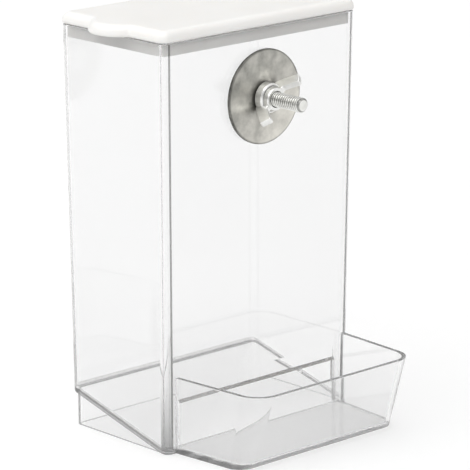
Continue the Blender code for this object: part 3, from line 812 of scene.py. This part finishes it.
makeBolt()
makeWasher("zinc_front_washer", "front_washer", "washer", clamp["frontWasher"], clamp["gap"])
makeWasher("zinc_inner_washer", "inner_washer", "feeder", clamp["innerWasher"],
           -hopper["wall"] - clamp["gap"] - clamp["washer"])
makeNut()
print("clamp made")


# floor, light and camera

stage = {
    "paper": "#F3F3F3", "floorSize": 12.0, "floorDrop": 0.2 * mm,
    "nearLift": 0.16, "farLift": 0.5, "near": 0.25, "far": 1.8,
    "sky": "#FFFFFF", "skyLight": 0.6, "wallLight": 0.42, "wallFoot": (0.0, 0.1), "wallTop": (0.35, 0.6),
    "bounces": 64,  # light passes many faces of clear plastic
}
lamps = {
    "key": {"place": (-0.6, 0.1, 1.18), "size": 1.7, "power": 11.2},
    "front": {"place": (-0.15, -0.85, 0.95), "size": 0.4, "power": 1.2},
}
photo = {
    "place": (-0.70646, -0.75253, 0.33963), "azimuth": -42.971, "elevation": 14.814, "roll": -0.133,
    "lens": 244.04,
}


# 1 for what is seen straight, in a shiny face or through clear plastic, and 0 by way of a dull face
def seenRays(tree):
    path = addNode(tree, "ShaderNodeLightPath").outputs
    first = addNode(tree, "ShaderNodeMath", {"operation": "MAXIMUM"},
                    links={0: path["Is Camera Ray"], 1: path["Is Glossy Ray"]})
    seen = addNode(tree, "ShaderNodeMath", {"operation": "MAXIMUM"},
                   links={0: first.outputs["Value"], 1: path["Is Transmission Ray"]})
    straight = addNode(tree, "ShaderNodeMath", {"operation": "LESS_THAN"}, {1: 0.5},
                       {0: path["Diffuse Depth"]})
    return addNode(tree, "ShaderNodeMath", {"operation": "MULTIPLY"},
                   links={0: seen.outputs["Value"], 1: straight.outputs["Value"]}).outputs["Value"]


def makeWorld():
    world = bpy.data.worlds.new("studio")
    scene.world = world
    world.use_nodes = True
    tree = world.node_tree
    tree.nodes.clear()
    # soft light all round. In metal and clear plastic the dim walls of the room show between the paper
    # and a white ceiling, which gives edges and thread their dark lines
    where = addNode(tree, "ShaderNodeTexCoord").outputs["Generated"]
    height = addNode(tree, "ShaderNodeSeparateXYZ", links={0: where}).outputs["Z"]
    low, high = stage["wallFoot"], stage["wallTop"]
    walls = addNode(tree, "ShaderNodeMapRange", {"interpolation_type": "SMOOTHSTEP"},
                    {"From Min": low[0], "From Max": low[1], "To Min": 1.0, "To Max": stage["wallLight"]},
                    {"Value": height})
    room = addNode(tree, "ShaderNodeMapRange", {"interpolation_type": "SMOOTHSTEP"},
                   {"From Min": high[0], "From Max": high[1], "To Max": 1.0},
                   {"Value": height, "To Min": walls.outputs["Result"]})
    path = addNode(tree, "ShaderNodeLightPath").outputs
    seen = addNode(tree, "ShaderNodeMix", values={"B": 1.0},
                   links={"A": room.outputs["Result"], "Factor": path["Is Camera Ray"]})
    level = addNode(tree, "ShaderNodeMix", values={"A": stage["skyLight"]},
                    links={"B": seen.outputs["Result"], "Factor": seenRays(tree)})
    sky = addNode(tree, "ShaderNodeBackground", values={"Color": linearColour(stage["sky"])},
                  links={"Strength": level.outputs["Result"]})
    addNode(tree, "ShaderNodeOutputWorld", links={"Surface": sky.outputs["Background"]})


def studioPaper():
    # matt white paper. The lamps fall off across it, so light is added, more further out, to keep it white
    material, tree = newMaterial("studio_paper")
    paper = addNode(tree, "ShaderNodeBsdfDiffuse", values={"Color": linearColour(stage["paper"])})
    where = addNode(tree, "ShaderNodeTexCoord").outputs["Object"]
    away = addNode(tree, "ShaderNodeVectorMath", {"operation": "LENGTH"}, links={0: where})
    reach = addNode(tree, "ShaderNodeMapRange",
                    values={"From Min": stage["near"], "From Max": stage["far"],
                            "To Min": stage["nearLift"], "To Max": stage["farLift"]},
                    links={"Value": away.outputs["Value"]})
    glow = addNode(tree, "ShaderNodeMath", {"operation": "MULTIPLY"},
                   links={0: seenRays(tree), 1: reach.outputs["Result"]})
    lift = addNode(tree, "ShaderNodeEmission", links={"Strength": glow.outputs["Value"]})
    both = addNode(tree, "ShaderNodeAddShader", links={0: paper.outputs["BSDF"], 1: lift.outputs["Emission"]})
    addNode(tree, "ShaderNodeOutputMaterial", links={"Surface": both.outputs["Shader"]})
    return material


def makeFloor():
    half = stage["floorSize"] / 2
    corners = ((-half, -half), (half, -half), (half, half), (-half, half))
    bm = bmesh.new()
    bm.faces.new([bm.verts.new((x, y, -stage["floorDrop"])) for x, y in corners])
    floor = meshPiece("studio_floor", bm, Matrix.Identity(4))
    floor.data.materials.append(studioPaper())


def makeLamps():
    middle = (cadLow + cadHigh) / 2
    for name, lamp in lamps.items():
        light = bpy.data.lights.new(name, "AREA")
        light.size = lamp["size"]
        light.energy = lamp["power"]
        holder = bpy.data.objects.new(name, light)
        holder.location = lamp["place"]
        holder.rotation_euler = (middle - Vector(lamp["place"])).to_track_quat("-Z", "Y").to_euler()
        scene.collection.objects.link(holder)


def makeCamera():
    lens = bpy.data.cameras.new("camera")
    lens.lens = photo["lens"]
    lens.clip_start = 0.01
    lens.clip_end = 100
    camera = bpy.data.objects.new("camera", lens)
    azimuth, elevation = math.radians(photo["azimuth"]), math.radians(photo["elevation"])
    level = math.cos(elevation)
    back = Vector((math.sin(azimuth) * level, -math.cos(azimuth) * level, math.sin(elevation)))
    turn = (-back).to_track_quat("-Z", "Y").to_matrix().to_4x4()
    roll = Matrix.Rotation(math.radians(photo["roll"]), 4, "Z")
    camera.matrix_world = Matrix.Translation(photo["place"]) @ turn @ roll
    scene.collection.objects.link(camera)
    scene.camera = camera


makeWorld()
makeFloor()
makeLamps()
makeCamera()
scene.view_settings.view_transform = "Standard"
scene.cycles.max_bounces = stage["bounces"]
scene.cycles.transmission_bounces = stage["bounces"]
scene.cycles.glossy_bounces = stage["bounces"]
print("stage made")
